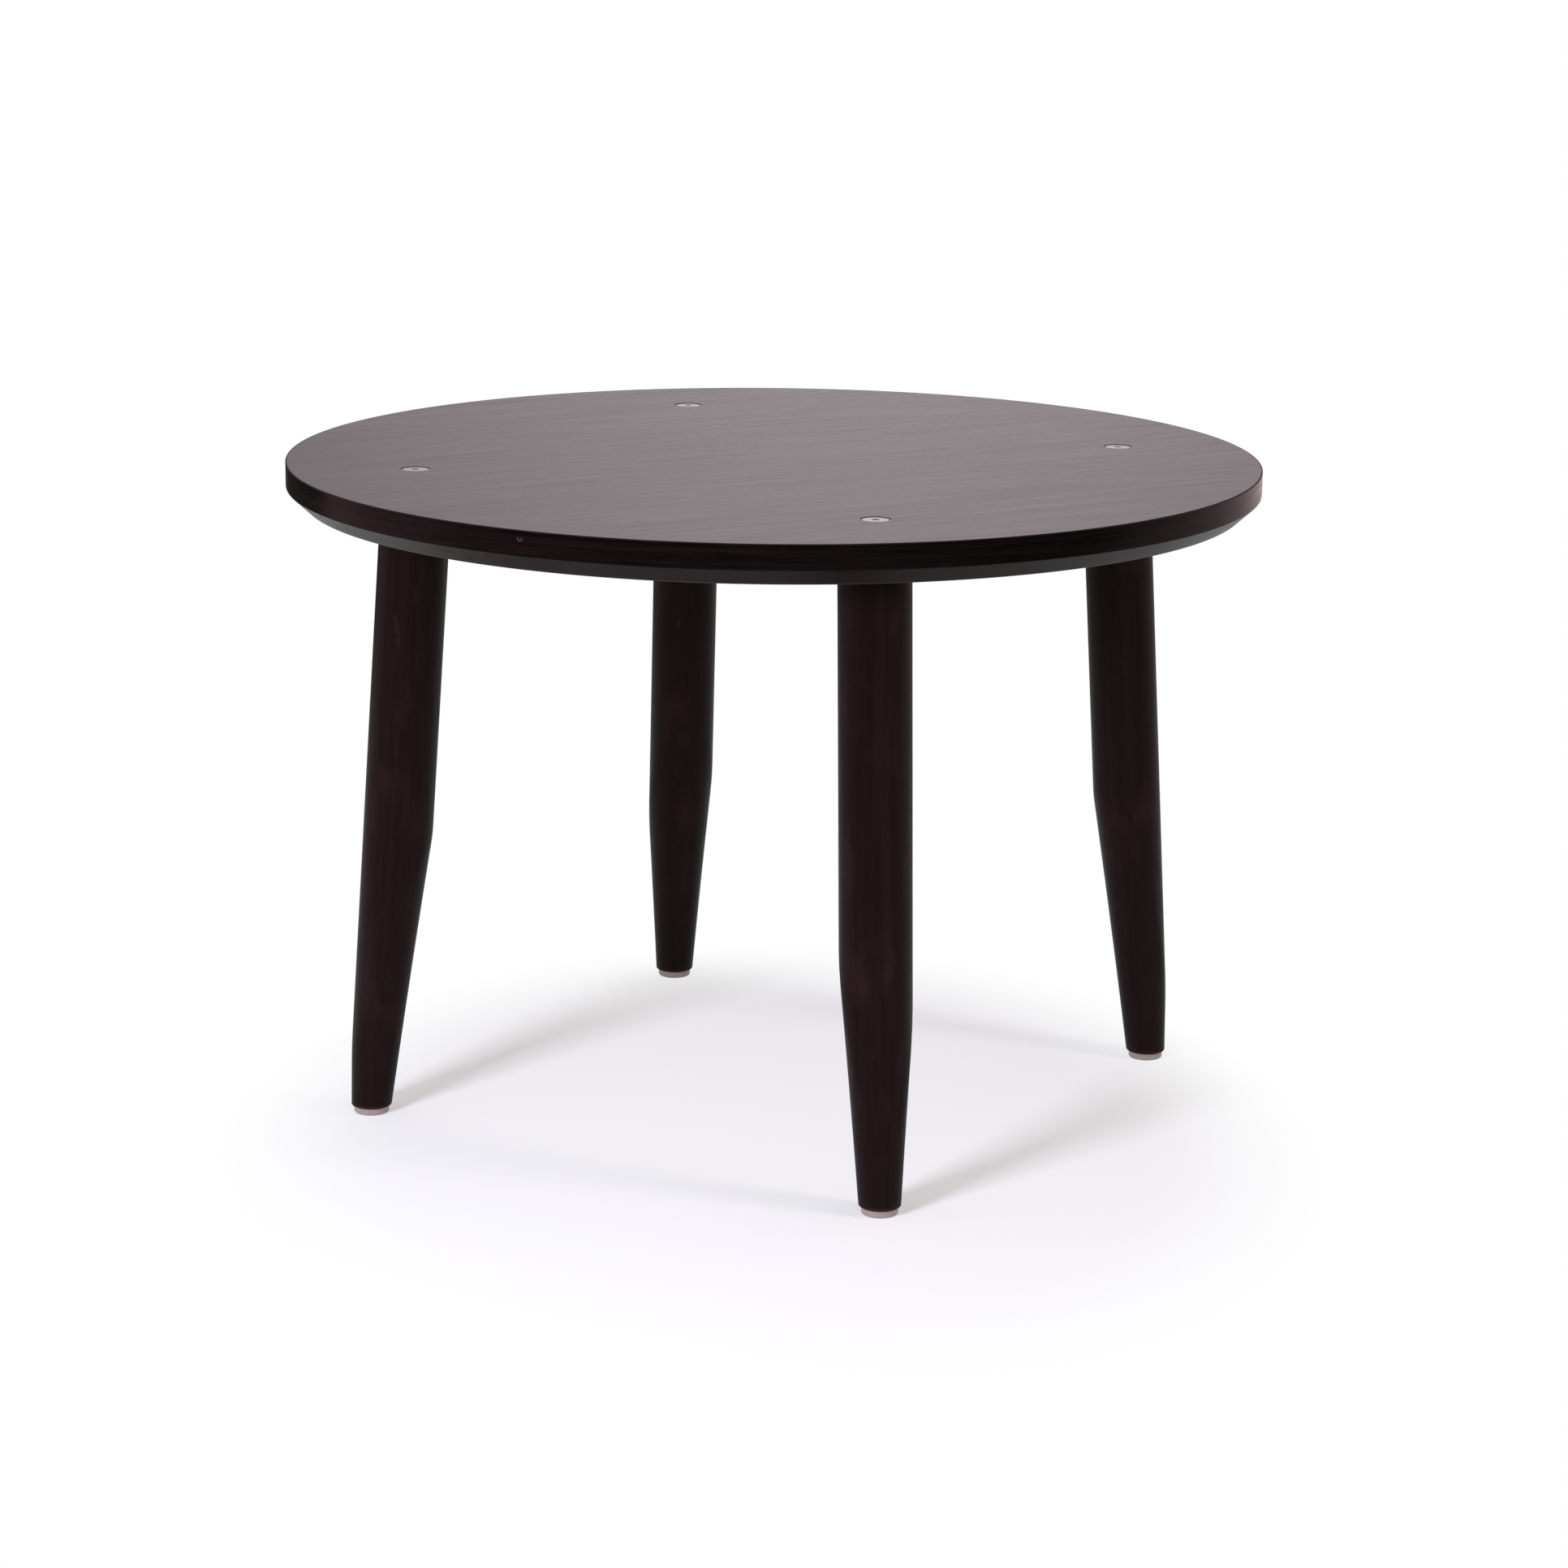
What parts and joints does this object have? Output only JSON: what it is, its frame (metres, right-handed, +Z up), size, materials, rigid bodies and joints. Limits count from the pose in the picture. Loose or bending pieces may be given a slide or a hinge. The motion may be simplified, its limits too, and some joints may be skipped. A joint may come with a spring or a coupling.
{
  "type": "round cocktail table",
  "caption": "Low round cocktail table: a dark veneered disc with a bevelled edge on splayed, tapered wooden legs, bolted through the top.",
  "frame": {"origin": "on the floor, below the centre of the top and midway between the feet", "axes": "+Z up along the table's axis; the legs stand on the diagonals between X and Y, with -Y the front and +X the right"},
  "size_m": [0.6099, 0.61, 0.411],
  "materials": {
    "board_core": "raw fibreboard",
    "lipping_wood": "dark espresso stain, satin lacquer",
    "face_veneer": "dark espresso stain, satin lacquer",
    "backing_veneer": "dark stain, matt",
    "leg_wood": "dark espresso stain, satin lacquer",
    "bolt_steel": "nickel plated",
    "insert_zinc": "zinc plated",
    "dowel_beech": "raw beech",
    "glide_nylon": "natural nylon",
    "nail_steel": "bright steel"
  },
  "bodies": {
    "root": {"top_core": "board_core", "edge_lipping": "lipping_wood", "face_veneer": "face_veneer", "backing_veneer": "backing_veneer", "leg_back_right": "leg_wood", "leg_back_left": "leg_wood", "leg_front_left": "leg_wood", "leg_front_right": "leg_wood", "leg_bolt_back_right": "bolt_steel", "leg_bolt_back_left": "bolt_steel", "leg_bolt_front_left": "bolt_steel", "leg_bolt_front_right": "bolt_steel", "leg_insert_back_right": "insert_zinc", "leg_insert_back_left": "insert_zinc", "leg_insert_front_left": "insert_zinc", "leg_insert_front_right": "insert_zinc", "leg_dowel_back_right": "dowel_beech", "leg_dowel_back_left": "dowel_beech", "leg_dowel_front_left": "dowel_beech", "leg_dowel_front_right": "dowel_beech", "foot_glide_back_right": "glide_nylon", "foot_glide_back_left": "glide_nylon", "foot_glide_front_left": "glide_nylon", "foot_glide_front_right": "glide_nylon", "glide_nail_back_right": "nail_steel", "glide_nail_back_left": "nail_steel", "glide_nail_front_left": "nail_steel", "glide_nail_front_right": "nail_steel"}
  },
  "joints": []
}
